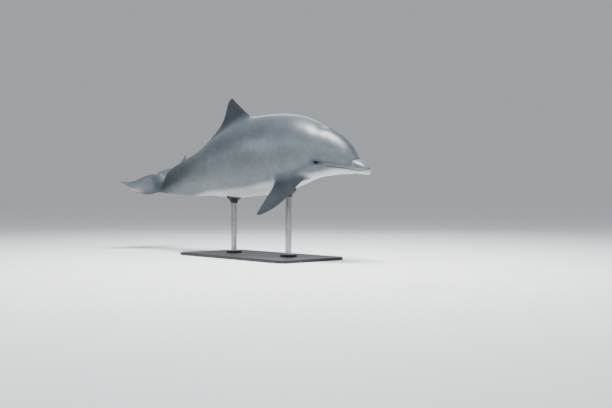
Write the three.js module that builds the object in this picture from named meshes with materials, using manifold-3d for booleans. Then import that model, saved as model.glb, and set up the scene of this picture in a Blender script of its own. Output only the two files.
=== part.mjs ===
// A life-size bottlenose dolphin, swimming with an arched back, on a steel display stand.
// Millimetres, +Z up, head toward +X. The origin is the middle of the underside of the stand's base.
//
// A place on the animal is given as (along, out, up): how far it lies behind the tip of the upper jaw
// along the spine, how far out to the animal's left, and how far above the spine. The spine is then
// bent into the swimming pose, and everything on it follows.
import * as THREE from "three";
import { mergeVertices } from "three/addons/utils/BufferGeometryUtils.js";
import Module from "manifold-3d";

const wasm = await Module();
wasm.setup();

// ---------------------------------------------------------------- driving dimensions
const GAP = 0.3; // clearance between two parts that touch
const HALF_GAP = GAP / 2;
const NOSE = [1018, 110, 600]; // where the tip of the upper jaw is held

// The pose, in degrees: how the head points, then how the spine turns on its way back.
const HEAD = { turn: 12.5, rise: -15, roll: 3 };
const BENDS = [
  { from: 310, to: 720, turn: -11.5, rise: 16.5, roll: 0.5 }, // neck
  { from: 665, to: 1610, turn: -2.5, rise: 6.5, roll: 1 }, // trunk
  { from: 1480, to: 2320, turn: 4.5, rise: 6, roll: 14 }, // tail stock
  { from: 2245, to: 2385, turn: 0, rise: -58, roll: 6 }, // flukes, lifted behind
];
const SPINE_STEP = 10;
const SPINE_FROM = -60;
const SPINE_TO = 2700;

// The body's outline: at each place along the spine, the height of its back, belly and widest line
// above the spine, its half width, and the power of its section (2 is an ellipse).
const OUTLINE = [
  [-13, -6, -12, -9, 3, 2],
  [-9, 1, -18, -9, 11, 2],
  [-2, 7, -24, -8, 18, 2.1],
  [4, 13, -27, -6, 23, 2.2],
  [12, 23, -29, -3, 29, 2.3],
  [30, 34, -31, 2, 38, 2.35],
  [58, 44, -35, 6, 45, 2.35],
  [88, 51, -39, 8, 51, 2.3],
  [101, 56, -43, 12, 49, 2.2],
  [112, 67, -46, 19, 49, 2.1],
  [127, 84, -51, 25, 53, 2.05],
  [148, 105, -57, 29, 63, 2.05],
  [175, 129, -64, 29, 77, 2.05],
  [210, 150, -75, 26, 93, 2.05],
  [266, 176, -95, 19, 115, 2.05],
  [335, 198, -119, 10, 137, 2.1],
  [390, 208, -143, 4, 154, 2.1],
  [463, 230, -174, 0, 176, 2.05],
  [590, 268, -218, 0, 206, 2],
  [770, 294, -252, 0, 226, 2],
  [970, 302, -267, 0, 231, 2],
  [1230, 280, -262, 0, 214, 2],
  [1480, 232, -228, 0, 171, 1.95],
  [1735, 178, -180, 0, 121, 1.85],
  [1990, 153, -144, 0, 80, 1.75],
  [2170, 130, -92, 0, 56, 1.7],
  [2270, 88, -52, 0, 46, 1.75],
  [2350, 45, -34, 0, 36, 1.9],
  [2410, 22, -25, 0, 27, 2],
  [2455, 7, -8, 0, 10, 2],
];
const SECTION_POINTS = 28;
const SECTION_STEPS = [
  [-13, 12, 4],
  [12, 90, 4],
  [90, 180, 7],
  [180, 480, 7],
  [480, 2180, 14],
  [2180, 2455, 7],
]; // from, to and how many steps between: close where the outline turns fast

// Where the body is parted, along the spine.
const NECK_AT = 430;
const CHEST_AT = 520;
const MIDBODY_AT = 860;
const LOIN_AT = 1250;
const TAIL_FRONT_AT = 1700;
const TAIL_REAR_AT = 2050;

// The closed mouth, seen from the side: (along, up) from in front of the tip to the corner.
const MOUTH = [
  [-40, 12], [1, 11], [9, 7], [22, 0], [42, -7], [70, -12], [107, -14.5], [197, -22], [265, -30],
];
const THROAT_END = [345, -150]; // the lower jaw's rear edge runs from the corner down to here
// Between beak and melon, and on down past the mouth.
const BEAK_CREASE = [[97, 75], [97, 55], [127, 17], [171, -32]];

const EYE = { along: 329, up: -19, radius: 17, proud: 3 }; // proud: how far the ball stands out
const EYELID = { along: 27, out: 10, up: 16 }; // half sizes of the mound round the eye
const EYE_OPENING = { length: 34, height: 18 };
const BLOWHOLE = { along: 337, radius: 19, crescent: 7, depth: 12 };

const CUT_DEPTH = 60; // of the shapes that cut the eye openings and the blowhole
const HEAD_SLAB_WIDTH = 500; // of the slabs that part the jaws, wider than the head

// The section of a fin: round in front, thin behind.
const BLADE = { rings: 12, sidePoints: 6, backPower: 0.62, fullness: 0.85 };

// The dorsal fin, by height above the spine: where its edges lie along the spine, and its thickness.
// It starts inside the back, and comes out of it at 300 in front and at 200 behind.
const DORSAL = {
  heights: [[0, 170], [0.16, 262], [1, 486]], // by share of the fin, from its foot to its tip
  front: [[170, 940], [262, 1006], [300, 1052], [400, 1166], [455, 1222], [486, 1246]],
  back: [[170, 1690], [262, 1532], [300, 1458], [360, 1380], [420, 1336], [465, 1304], [486, 1274]],
  thick: [[170, 65], [300, 34], [486, 8]],
};

const FLIPPER = {
  root: { along: 511, out: 140, up: -135 },
  rootBend: 36, // over about this length it turns from the chest into its own direction
  length: 372,
  buried: 110,
  chord: 186,
  thick: 27,
  taper: 0.72, // of the thickness, from root to tip
  frontSlope: 0.08, // the front edge runs back as slope * share + sweep * share ^ power, in chords
  frontSweep: 0.61,
  frontPower: 2.6,
  backTaper: 0.2, // the back edge runs forward as taper * share ^ 2 + bow * sin(pi * share)
  backBow: 0.06,
  leastChord: 18,
};
// How far the flipper widens into the chest at its root, fading over the first bit of its length.
const SHOULDER = { start: -10, fade: 30, front: 12, back: 20, thick: 16 };
const SHOULDER_WAY = [0.1, -0.85, 0.5]; // (along, out, up) from the flipper's root into the chest
// How each flipper is held, in degrees: swept back from straight out, and drooped from level.
const FLIPPER_HELD = { right: { sweep: 28, droop: 71 }, left: { sweep: 56, droop: -2 } };

// One fluke, by share of its span: where its edges lie along the spine, and its thickness.
const FLUKE = {
  span: 320,
  front: [[0, 2290], [0.12, 2301], [0.4, 2328], [0.6, 2366], [0.8, 2424], [1, 2534]],
  back: [[0, 2490], [0.1, 2520], [0.3, 2526], [0.6, 2518], [0.85, 2532], [1, 2552]],
  thick: [[0, 51], [0.15, 34], [0.5, 20], [1, 6]],
  droop: 0.15, // per millimetre out
  middle: 25, // over about this width the two sides' droop meets in a round
  tipLift: 58, // the tip curls up as lift * share ^ power
  tipPower: 4.5,
  leftLean: 55, // the left fluke's tip lies this much farther back, as the photo shows it
};

const BASE = { length: 1250, width: 580, thick: 20, corner: 60, edge: 3 };
const RODS = { front: 720, rear: 1390 }; // where each one meets the belly, along the spine
const ROD = { radius: 21, entry: 16, edge: 2 };
// Outlines of the foot flange and of the saddle under the belly: (radius, height above its bottom).
const FOOT_OUTLINE = [[58, 0], [58, 11], [55, 14]];
const SADDLE_OUTLINE = [[27, 0], [30, 12], [52, 36], [56, 44], [56, 102]];
const SADDLE_DROP = 46; // from the belly's lowest line to the saddle's bottom

const SKIN_DARK = { color: 0x55646e, roughness: 0.42, metalness: 0 };
const SKIN_MID = { color: 0x74828b, roughness: 0.42, metalness: 0 };
const SKIN_PALE = { color: 0xb9bfc0, roughness: 0.45, metalness: 0 };
const EYE_BROWN = { color: 0x1c1512, roughness: 0.08, metalness: 0 };
const BASE_PAINT = { color: 0x3a3d40, roughness: 0.5, metalness: 0.2 };
const ROD_STEEL = { color: 0x9a9da0, roughness: 0.3, metalness: 1 };

// How finely round shapes are faceted.
const BALL_STEPS = { around: 16, upward: 9 };
const TURNED_STEPS = 20;
const SLIT_CURVE_STEPS = 6;
const CORNER_STEPS = 4;
const WELD = 0.001; // corners of a mesh that lie closer together than this are one

// ---------------------------------------------------------------- small helpers
const radians = THREE.MathUtils.degToRad;

function ease(t) {
  const x = Math.min(1, Math.max(0, t));
  return x * x * (3 - 2 * x);
}

// A smooth curve through (x, y) that never overshoots its points (Fritsch and Carlson).
function curveThrough(xs, ys) {
  const slopes = xs.slice(1).map((x, i) => (ys[i + 1] - ys[i]) / (x - xs[i]));
  const last = slopes.length - 1;
  const tangents = xs.map((_, i) => {
    if (i === 0) return slopes[0];
    if (i > last) return slopes[last];
    if (slopes[i - 1] * slopes[i] <= 0) return 0;
    return (2 * slopes[i - 1] * slopes[i]) / (slopes[i - 1] + slopes[i]);
  });
  return (x) => {
    let i = 0;
    while (i < last && x > xs[i + 1]) i += 1;
    const step = xs[i + 1] - xs[i];
    const t = Math.min(1, Math.max(0, (x - xs[i]) / step));
    const rest = 1 - t;
    const ends = ys[i] * rest * rest * (1 + 2 * t) + ys[i + 1] * t * t * (3 - 2 * t);
    return ends + step * t * rest * (rest * tangents[i] - t * tangents[i + 1]);
  };
}

function curveOver(pairs) {
  return curveThrough(pairs.map((pair) => pair[0]), pairs.map((pair) => pair[1]));
}

// A closed mesh as a solid that can be joined and cut. Its faces are turned out if they point in.
function solidFrom(geometry) {
  const bare = new THREE.BufferGeometry();
  bare.setAttribute("position", geometry.getAttribute("position"));
  bare.setIndex(geometry.index);
  const merged = mergeVertices(bare, WELD);
  const vertProperties = merged.getAttribute("position").array;
  const triVerts = new Uint32Array(merged.index.array);
  const solid = new wasm.Manifold(new wasm.Mesh({ numProp: 3, vertProperties, triVerts }));
  if (solid.volume() > 0) return solid;
  triVerts.reverse();
  return new wasm.Manifold(new wasm.Mesh({ numProp: 3, vertProperties, triVerts }));
}

// The main piece of a cut solid, without the specks that a cut may leave.
function mainPiece(solid) {
  const pieces = solid.decompose();
  pieces.sort((a, b) => b.volume() - a.volume());
  return pieces[0];
}

function geometryFrom(solid) {
  const mesh = mainPiece(solid).getMesh();
  const geometry = new THREE.BufferGeometry();
  geometry.setAttribute("position", new THREE.BufferAttribute(mesh.vertProperties, 3));
  geometry.setIndex(new THREE.BufferAttribute(mesh.triVerts, 1));
  const faceted = geometry.toNonIndexed();
  faceted.computeVertexNormals();
  return faceted;
}

function meshNamed(name, solid, look) {
  const mesh = new THREE.Mesh(geometryFrom(solid), new THREE.MeshStandardMaterial(look));
  mesh.name = name;
  return mesh;
}

// A closed skin over rings of points, with a point at the middle of each end ring.
function solidOverRings(rings) {
  const count = rings[0].length;
  const points = rings.flat();
  const index = [];
  for (let r = 0; r < rings.length - 1; r += 1) {
    for (let i = 0; i < count; i += 1) {
      const a = r * count + i;
      const b = r * count + ((i + 1) % count);
      index.push(a, b, b + count, a, b + count, a + count);
    }
  }
  [[0, rings[0], false], [(rings.length - 1) * count, rings[rings.length - 1], true]].forEach(
    ([start, ring, turned]) => {
      const middle = new THREE.Vector3();
      ring.forEach((p) => middle.addScaledVector(p, 1 / count));
      points.push(middle);
      for (let i = 0; i < count; i += 1) {
        const a = start + i;
        const b = start + ((i + 1) % count);
        if (turned) index.push(a, b, points.length - 1);
        else index.push(b, a, points.length - 1);
      }
    },
  );
  const geometry = new THREE.BufferGeometry().setFromPoints(points);
  geometry.setIndex(index);
  return solidFrom(geometry);
}

// ---------------------------------------------------------------- the spine and its pose
function directionsAt(along) {
  let { turn, rise, roll } = HEAD;
  BENDS.forEach((bend) => {
    const part = ease((along - bend.from) / (bend.to - bend.from));
    turn += bend.turn * part;
    rise += bend.rise * part;
    roll += bend.roll * part;
  });
  const rotation = new THREE.Euler(radians(roll), radians(-rise), radians(turn), "ZYX");
  return new THREE.Matrix4().makeRotationFromEuler(rotation);
}

const SPINE = [];
for (let along = SPINE_FROM; along <= SPINE_TO; along += SPINE_STEP) {
  const axes = [new THREE.Vector3(), new THREE.Vector3(), new THREE.Vector3()];
  directionsAt(along).extractBasis(...axes);
  SPINE.push({ along, forward: axes[0], left: axes[1], up: axes[2], centre: new THREE.Vector3() });
}
SPINE.forEach((knot, i) => {
  if (i === 0) return;
  const before = SPINE[i - 1];
  knot.centre.copy(before.centre);
  knot.centre.addScaledVector(before.forward, -SPINE_STEP / 2);
  knot.centre.addScaledVector(knot.forward, -SPINE_STEP / 2);
});
const NOSE_KNOT = SPINE[Math.round(-SPINE_FROM / SPINE_STEP)].centre.clone();
SPINE.forEach((knot) => knot.centre.sub(NOSE_KNOT).add(new THREE.Vector3(...NOSE)));

// The spine's middle and its three directions at a place along it.
function frameAt(along) {
  const place = (along - SPINE_FROM) / SPINE_STEP;
  const i = Math.min(SPINE.length - 2, Math.max(0, Math.floor(place)));
  const t = place - i;
  const mix = (key) => SPINE[i][key].clone().lerp(SPINE[i + 1][key], t);
  return { centre: mix("centre"), forward: mix("forward"), left: mix("left"), up: mix("up") };
}

function placed(along, out, up) {
  const frame = frameAt(along);
  return frame.centre.addScaledVector(frame.left, out).addScaledVector(frame.up, up);
}

// The same, for a stiff piece that hangs on the spine at one place.
function placedFrom(root, along, out, up) {
  const frame = frameAt(root);
  frame.centre.addScaledVector(frame.forward, root - along);
  return frame.centre.addScaledVector(frame.left, out).addScaledVector(frame.up, up);
}

// ---------------------------------------------------------------- the body
const PLACES = OUTLINE.map((row) => row[0]);
const [backAt, bellyAt, widestAt, halfWidthAt, powerAt] = [1, 2, 3, 4, 5].map((column) =>
  curveThrough(PLACES, OUTLINE.map((row) => row[column])),
);

function sectionPoint(along, angle, growth) {
  const cosine = Math.cos(angle);
  const sine = Math.sin(angle);
  const power = 2 / powerAt(along);
  const level = widestAt(along);
  const reach = sine > 0 ? backAt(along) - level : level - bellyAt(along);
  const out = (halfWidthAt(along) + growth) * Math.sign(cosine) * Math.abs(cosine) ** power;
  const up = level + (reach + growth) * Math.sign(sine) * Math.abs(sine) ** power;
  return [out, up];
}

// How far the skin lies out from the spine's plane at a height.
function skinOut(along, up) {
  const level = widestAt(along);
  const reach = up > level ? backAt(along) - level : level - bellyAt(along);
  const power = powerAt(along);
  return halfWidthAt(along) * (1 - Math.abs((up - level) / reach) ** power) ** (1 / power);
}

function bodyGrownBy(growth) {
  const stations = [PLACES[0]];
  SECTION_STEPS.forEach(([from, to, steps]) => {
    for (let i = 1; i <= steps; i += 1) stations.push(from + ((to - from) * i) / steps);
  });
  const rings = stations.map((along, i) => {
    const end = i === 0 ? -growth : i === stations.length - 1 ? growth : 0;
    return Array.from({ length: SECTION_POINTS }, (_, k) => {
      const angle = (2 * Math.PI * (k + 0.5)) / SECTION_POINTS;
      return placed(along + end, ...sectionPoint(along, angle, growth));
    });
  });
  return solidOverRings(rings);
}

// What lies between two places along the spine.
function bodyBetween(body, from, to) {
  let piece = body;
  [[from, -1], [to, 1]].forEach(([along, side]) => {
    if (along === null) return;
    const frame = frameAt(along - side * HALF_GAP);
    const facing = frame.forward.multiplyScalar(side);
    piece = piece.trimByPlane(facing.toArray(), facing.dot(frame.centre));
  });
  return piece;
}

// ---------------------------------------------------------------- jaws, eyes and blowhole
// A slab through the head with this outline in (along, up), shifted by a little each way.
function slabThroughHead(outline, shift) {
  const corners = outline.map(([along, up]) => new THREE.Vector2(along + shift, up + shift));
  const shape = new THREE.Shape(corners);
  const geometry = new THREE.ExtrudeGeometry(shape, { depth: HEAD_SLAB_WIDTH, bevelEnabled: false });
  geometry.translate(0, 0, -HEAD_SLAB_WIDTH / 2);
  geometry.applyMatrix4(headMatrix());
  return solidFrom(geometry);
}

// Turns (along, up, out) of the stiff head into the part's frame.
function headMatrix() {
  const frame = frameAt(0);
  const matrix = new THREE.Matrix4();
  matrix.makeBasis(frame.forward.multiplyScalar(-1), frame.up, frame.left);
  return matrix.setPosition(frame.centre);
}

function lowerJawSlab(shift) {
  const front = MOUTH[0][0];
  return slabThroughHead([...MOUTH, THROAT_END, [front, THROAT_END[1]]], shift);
}

function beakSlab(shift) {
  const front = MOUTH[0][0];
  const top = BEAK_CREASE[0][1];
  const bottom = BEAK_CREASE[BEAK_CREASE.length - 1][1];
  return slabThroughHead([[front, bottom], [front, top], ...BEAK_CREASE], shift);
}

function eyeCentre(side) {
  const out = skinOut(EYE.along, EYE.up) + EYE.proud - EYE.radius;
  return placedFrom(0, EYE.along, side * out, EYE.up);
}

function ball(radius) {
  return new THREE.SphereGeometry(radius, BALL_STEPS.around, BALL_STEPS.upward);
}

// The raised rim of skin round an eye.
function eyelidMound(side) {
  const geometry = ball(1);
  geometry.scale(EYELID.along, EYELID.up, EYELID.out);
  const out = side * skinOut(EYE.along, EYE.up);
  geometry.translate(EYE.along, EYE.up, out - side * EYE.proud);
  geometry.applyMatrix4(headMatrix());
  return solidFrom(geometry);
}

function cutterFrom(shape) {
  const cut = { depth: CUT_DEPTH, bevelEnabled: false, curveSegments: SLIT_CURVE_STEPS };
  return new THREE.ExtrudeGeometry(shape, cut);
}

// The almond-shaped slit between the lids, cut in from outside to the middle of the ball.
function eyeSlit(side) {
  const half = EYE_OPENING.length / 2;
  const shape = new THREE.Shape();
  shape.moveTo(-half, 0);
  shape.quadraticCurveTo(0, -EYE_OPENING.height, half, 0);
  shape.quadraticCurveTo(0, EYE_OPENING.height, -half, 0);
  const geometry = cutterFrom(shape);
  const inner = skinOut(EYE.along, EYE.up) + EYE.proud - EYE.radius;
  geometry.translate(EYE.along, EYE.up, side > 0 ? inner : -inner - CUT_DEPTH);
  geometry.applyMatrix4(headMatrix());
  return solidFrom(geometry);
}

function eyeBall(side, growth) {
  const geometry = ball(EYE.radius + growth);
  geometry.translate(...eyeCentre(side).toArray());
  return solidFrom(geometry);
}

// The closed blowhole is a crescent-shaped slit whose horns point forward.
function blowholeSlit() {
  const { along, radius, crescent, depth } = BLOWHOLE;
  const shape = new THREE.Shape();
  shape.moveTo(along, radius);
  shape.quadraticCurveTo(along + 2 * radius, 0, along, -radius);
  shape.quadraticCurveTo(along + 2 * (radius - crescent), 0, along, radius);
  const geometry = cutterFrom(shape);
  geometry.rotateX(-Math.PI / 2);
  geometry.translate(0, backAt(along) - depth, 0);
  geometry.applyMatrix4(headMatrix());
  return solidFrom(geometry);
}

function headParts(body) {
  const whole = bodyBetween(body, null, NECK_AT);
  const beak = whole.intersect(beakSlab(-HALF_GAP)).subtract(lowerJawSlab(HALF_GAP));
  const lowerJaw = whole.intersect(lowerJawSlab(-HALF_GAP));
  let head = whole.subtract(beakSlab(HALF_GAP)).subtract(lowerJawSlab(HALF_GAP));
  head = head.subtract(blowholeSlit());
  [1, -1].forEach((side) => {
    head = head.add(eyelidMound(side)).subtract(eyeBall(side, GAP)).subtract(eyeSlit(side));
  });
  return { head, beak, lowerJaw };
}

// ---------------------------------------------------------------- fins
// A fin: plan(t) gives its edges, span and thickness from root to tip, and place puts a point
// (back, span, normal) on the animal.
function blade(plan, place) {
  const { rings: steps, sidePoints, backPower, fullness } = BLADE;
  const rings = [];
  for (let s = 0; s <= steps; s += 1) {
    const { lead, trail, span, thick } = plan(s / steps);
    const ring = [];
    for (let k = 0; k < 2 * sidePoints; k += 1) {
      const turn = (Math.PI * k) / sidePoints;
      const chord = (1 - Math.cos(turn)) / 2;
      const bulge = k % sidePoints === 0 ? 0 : Math.sqrt(chord) * (1 - chord) ** backPower;
      const normal = Math.sign(Math.sin(turn)) * bulge * fullness * thick;
      ring.push(place(lead + (trail - lead) * chord, span, normal));
    }
    rings.push(ring);
  }
  return solidOverRings(rings);
}

function dorsalFin() {
  const [heightAt, frontAt, backEdgeAt, thickAt] = [
    DORSAL.heights,
    DORSAL.front,
    DORSAL.back,
    DORSAL.thick,
  ].map(curveOver);
  const plan = (t) => {
    const span = heightAt(t);
    return { lead: frontAt(span), trail: backEdgeAt(span), span, thick: thickAt(span) };
  };
  return blade(plan, (along, span, normal) => placed(along, normal, span));
}

function flipperPlan(t) {
  const { length, buried, chord, thick, taper, leastChord } = FLIPPER;
  const span = -buried + (length + buried) * t;
  const share = Math.max(0, span / length);
  const widening = Math.exp(-Math.max(0, span - SHOULDER.start) / SHOULDER.fade);
  const runBack = FLIPPER.frontSlope * share + FLIPPER.frontSweep * share ** FLIPPER.frontPower;
  const runForward = FLIPPER.backTaper * share * share + FLIPPER.backBow * Math.sin(Math.PI * share);
  const lead = chord * (runBack - 0.5) - SHOULDER.front * widening;
  const trail = chord * (0.5 - runForward) + SHOULDER.back * widening;
  return {
    lead,
    trail: Math.max(trail, lead + leastChord),
    span,
    thick: thick * (1 - taper * share) + SHOULDER.thick * widening,
  };
}

function flipper(side) {
  const { along, out, up } = FLIPPER.root;
  const held = side > 0 ? FLIPPER_HELD.left : FLIPPER_HELD.right;
  const sweep = radians(held.sweep);
  const droop = radians(held.droop);
  const outward = Math.cos(sweep) * Math.cos(droop);
  const spanWay = new THREE.Vector3(Math.sin(sweep), outward, -Math.cos(sweep) * Math.sin(droop));
  const chordWay = new THREE.Vector3(1, 0, 0).addScaledVector(spanWay, -spanWay.x).normalize();
  const normalWay = new THREE.Vector3().crossVectors(spanWay, chordWay);
  const inward = new THREE.Vector3(...SHOULDER_WAY);
  return blade(flipperPlan, (back, span, normal) => {
    const point = new THREE.Vector3(along, out, up);
    const turning = Math.hypot(span, FLIPPER.rootBend);
    point.addScaledVector(spanWay, (turning + span) / 2);
    point.addScaledVector(inward, (turning - span) / 2);
    point.addScaledVector(chordWay, back).addScaledVector(normalWay, normal);
    return placedFrom(along, point.x, side * point.y, point.z);
  });
}

function fluke(side) {
  const { span, droop, middle, tipLift, tipPower } = FLUKE;
  const lean = side > 0 ? FLUKE.leftLean : 0;
  const [frontAt, backEdgeAt, thickAt] = [FLUKE.front, FLUKE.back, FLUKE.thick].map(curveOver);
  const plan = (t) => ({
    lead: frontAt(t),
    trail: backEdgeAt(t),
    span: HALF_GAP + (span - HALF_GAP) * t,
    thick: thickAt(t),
  });
  return blade(plan, (along, out, normal) => {
    const share = out / span;
    const lift = tipLift * share ** tipPower - droop * (Math.hypot(out, middle) - middle);
    return placed(along + lean * share ** 2, side * out, lift + normal);
  });
}

// ---------------------------------------------------------------- the display stand
function roundedPlate({ length, width, thick, corner, edge }) {
  const [x, y] = [length / 2 - edge, width / 2 - edge];
  const r = corner - edge;
  const shape = new THREE.Shape();
  shape.moveTo(-x + r, -y);
  shape.lineTo(x - r, -y);
  shape.absarc(x - r, -y + r, r, -Math.PI / 2, 0);
  shape.absarc(x - r, y - r, r, 0, Math.PI / 2);
  shape.absarc(-x + r, y - r, r, Math.PI / 2, Math.PI);
  shape.absarc(-x + r, -y + r, r, Math.PI, 1.5 * Math.PI);
  const bevel = { bevelThickness: edge, bevelSize: edge, bevelSegments: 1 };
  const plate = { depth: thick - 2 * edge, curveSegments: CORNER_STEPS, ...bevel };
  const geometry = new THREE.ExtrudeGeometry(shape, plate);
  geometry.translate(0, 0, edge);
  return solidFrom(geometry);
}

function turned(profile, x, y) {
  const outline = profile.map(([radius, height]) => new THREE.Vector2(radius, height));
  const geometry = new THREE.LatheGeometry(outline, TURNED_STEPS);
  geometry.rotateX(Math.PI / 2);
  geometry.translate(x, y, 0);
  return solidFrom(geometry);
}

// The outline shifted up by some height.
function raised(outline, height) {
  return outline.map(([radius, up]) => [radius, up + height]);
}

// One rod with the flange round its foot and the saddle that takes the belly's shape on top.
function standSupport(along, clearance) {
  const [x, y, contact] = placed(along, 0, bellyAt(along)).toArray();
  const { radius, entry, edge } = ROD;
  const hole = radius + GAP;
  const bottom = BASE.thick + GAP;
  const saddleBottom = contact - SADDLE_DROP;
  const top = saddleBottom + entry;

  const rodOutline = [[0, bottom], [radius, bottom], [radius, top - edge], [radius - edge, top], [0, top]];
  const rod = turned(rodOutline, x, y);

  const footOuter = raised(FOOT_OUTLINE, bottom);
  const footTop = footOuter[footOuter.length - 1][1];
  const foot = turned([[hole, bottom], ...footOuter, [hole, footTop], [hole, bottom]], x, y);

  const saddleOuter = raised(SADDLE_OUTLINE, saddleBottom);
  const saddleTop = saddleOuter[saddleOuter.length - 1][1];
  const socket = [[0, top + GAP], [hole, top + GAP], [hole, saddleBottom]];
  const saddle = turned([...socket, ...saddleOuter, [0, saddleTop]], x, y).subtract(clearance);
  return { rod, foot, saddle };
}

// ---------------------------------------------------------------- assembly
const body = bodyGrownBy(0);
const bodyClearance = bodyGrownBy(GAP);

function dolphin() {
  const group = new THREE.Group();
  const add = (name, solid, look) => group.add(meshNamed(name, solid, look));
  const { head, beak, lowerJaw } = headParts(body);
  add("head", head, SKIN_MID);
  add("upper_jaw", beak, SKIN_MID);
  add("lower_jaw", lowerJaw, SKIN_PALE);
  add("neck", bodyBetween(body, NECK_AT, CHEST_AT), SKIN_MID);
  add("chest", bodyBetween(body, CHEST_AT, MIDBODY_AT), SKIN_MID);
  add("midbody", bodyBetween(body, MIDBODY_AT, LOIN_AT), SKIN_MID);
  add("loin", bodyBetween(body, LOIN_AT, TAIL_FRONT_AT), SKIN_MID);
  add("tail_stock_front", bodyBetween(body, TAIL_FRONT_AT, TAIL_REAR_AT), SKIN_MID);
  add("tail_stock_rear", bodyBetween(body, TAIL_REAR_AT, null), SKIN_MID);
  add("dorsal_fin", dorsalFin().subtract(bodyClearance), SKIN_DARK);
  [["left", 1], ["right", -1]].forEach(([name, side]) => {
    add(`eye_${name}`, eyeBall(side, 0), EYE_BROWN);
    add(`flipper_${name}`, flipper(side).subtract(bodyClearance), SKIN_DARK);
    add(`fluke_${name}`, fluke(side).subtract(bodyClearance), SKIN_DARK);
  });
  return group;
}

function stand() {
  const group = new THREE.Group();
  group.add(meshNamed("stand_base", roundedPlate(BASE), BASE_PAINT));
  Object.entries(RODS).forEach(([name, along]) => {
    const { rod, foot, saddle } = standSupport(along, bodyClearance);
    group.add(meshNamed(`stand_rod_${name}`, rod, ROD_STEEL));
    group.add(meshNamed(`stand_foot_${name}`, foot, BASE_PAINT));
    group.add(meshNamed(`stand_saddle_${name}`, saddle, BASE_PAINT));
  });
  return group;
}

const part = new THREE.Group();
part.add(dolphin(), stand());
export default part;
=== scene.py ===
"""A life-size bottlenose dolphin on a display stand: one skin, two eyes and the stand, on a pale floor.

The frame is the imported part's: metres, +X toward the head, +Y to the animal's left, +Z up, with the
origin under the middle of the stand's base. Places on the animal are worked out in millimetres as
(along, out, up): how far behind the tip of the upper jaw along the spine, how far out to the left,
and how far above the spine. The spine is then bent into the swimming pose.
"""

import math

import bmesh
import bpy
import numpy as np
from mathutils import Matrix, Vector
from mathutils.bvhtree import BVHTree


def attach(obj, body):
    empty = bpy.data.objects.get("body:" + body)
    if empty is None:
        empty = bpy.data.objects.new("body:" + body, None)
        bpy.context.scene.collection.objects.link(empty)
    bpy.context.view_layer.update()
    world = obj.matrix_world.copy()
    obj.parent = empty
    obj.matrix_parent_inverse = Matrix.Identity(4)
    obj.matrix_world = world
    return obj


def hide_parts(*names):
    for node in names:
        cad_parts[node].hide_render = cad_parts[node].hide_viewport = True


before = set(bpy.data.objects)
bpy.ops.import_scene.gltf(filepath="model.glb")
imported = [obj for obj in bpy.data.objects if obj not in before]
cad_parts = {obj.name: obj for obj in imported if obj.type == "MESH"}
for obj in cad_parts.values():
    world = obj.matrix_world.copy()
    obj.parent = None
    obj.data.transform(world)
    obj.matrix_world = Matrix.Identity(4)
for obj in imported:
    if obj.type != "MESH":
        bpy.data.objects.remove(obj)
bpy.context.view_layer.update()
MM = 0.001

# ---- pose and outline, as in the solids
NOSE = (1018, 110, 600)
HEAD = (12.5, -15, 3)  # turn, rise and roll, in degrees
BENDS = [
    (310, 720, -11.5, 16.5, 0.5),  # from, to, then what turn, rise and roll gain: the neck
    (665, 1610, -2.5, 6.5, 1),  # trunk
    (1480, 2320, 4.5, 6, 14),  # tail stock
    (2245, 2385, 0, -58, 6),  # flukes, lifted behind
]
SPINE_STEP = 10
SPINE_FROM = -60
SPINE_TO = 2700

# Each row: a place along the spine, the heights of the back, the belly and the widest line there, the
# half width, and the power of the section.
OUTLINE = [
    (-13, -6, -12, -9, 3, 2),
    (-9, 1, -18, -9, 11, 2),
    (-2, 7, -24, -8, 18, 2.1),
    (4, 13, -27, -6, 23, 2.2),
    (12, 23, -29, -3, 29, 2.3),
    (30, 34, -31, 2, 38, 2.35),
    (58, 44, -35, 6, 45, 2.35),
    (88, 51, -39, 8, 51, 2.3),
    (101, 56, -43, 12, 49, 2.2),
    (112, 67, -46, 19, 49, 2.1),
    (127, 84, -51, 25, 53, 2.05),
    (148, 105, -57, 29, 63, 2.05),
    (175, 129, -64, 29, 77, 2.05),
    (210, 150, -75, 26, 93, 2.05),
    (266, 176, -95, 19, 115, 2.05),
    (335, 198, -119, 10, 137, 2.1),
    (390, 208, -143, 4, 154, 2.1),
    (463, 230, -174, 0, 176, 2.05),
    (590, 268, -218, 0, 206, 2),
    (770, 294, -252, 0, 226, 2),
    (970, 302, -267, 0, 231, 2),
    (1230, 280, -262, 0, 214, 2),
    (1480, 232, -228, 0, 171, 1.95),
    (1735, 178, -180, 0, 121, 1.85),
    (1990, 153, -144, 0, 80, 1.75),
    (2170, 130, -92, 0, 56, 1.7),
    (2270, 88, -52, 0, 46, 1.75),
    (2350, 45, -34, 0, 36, 1.9),
    (2410, 22, -25, 0, 27, 2),
    (2455, 7, -8, 0, 10, 2),
]
RING_POINTS = 112
# (from, to, how many rings between)
RING_STEPS = [
    (-13, 12, 18), (12, 90, 24), (90, 180, 24), (180, 400, 44), (400, 560, 20), (560, 2150, 130),
    (2150, 2455, 42),
]

# The closed mouth and the crease between beak and melon, seen from the side: (along, up).
MOUTH = [
    (-40, 12), (1, 11), (9, 7), (22, 0), (42, -7), (70, -12), (107, -14.5), (197, -22), (265, -30),
]
MOUTH_CORNER = 265
BEAK_CREASE = [(90, 64), (97, 55), (111, 37), (127, 17), (146, 0), (164, -12)]

EYE = {"along": 329, "up": -19, "radius": 17, "proud": 3}  # proud: how far the ball stands out
EYE_OPENING = {"half_length": 17, "half_height": 8.5}
BLOWHOLE = {"along": 337, "half_width": 19, "bow": 15}
EAR = (384, -34)  # (along, up)
NAVEL = 1098
CROWN = 100  # skin higher than this is on top of the head
MIDLINE = 20  # skin farther out than this is on the side

# ---- fins, as in the solids
FIN_RINGS = 44
FIN_SIDE_POINTS = 22
FIN_BACK_POWER = 0.62
FIN_FULLNESS = 0.85
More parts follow.
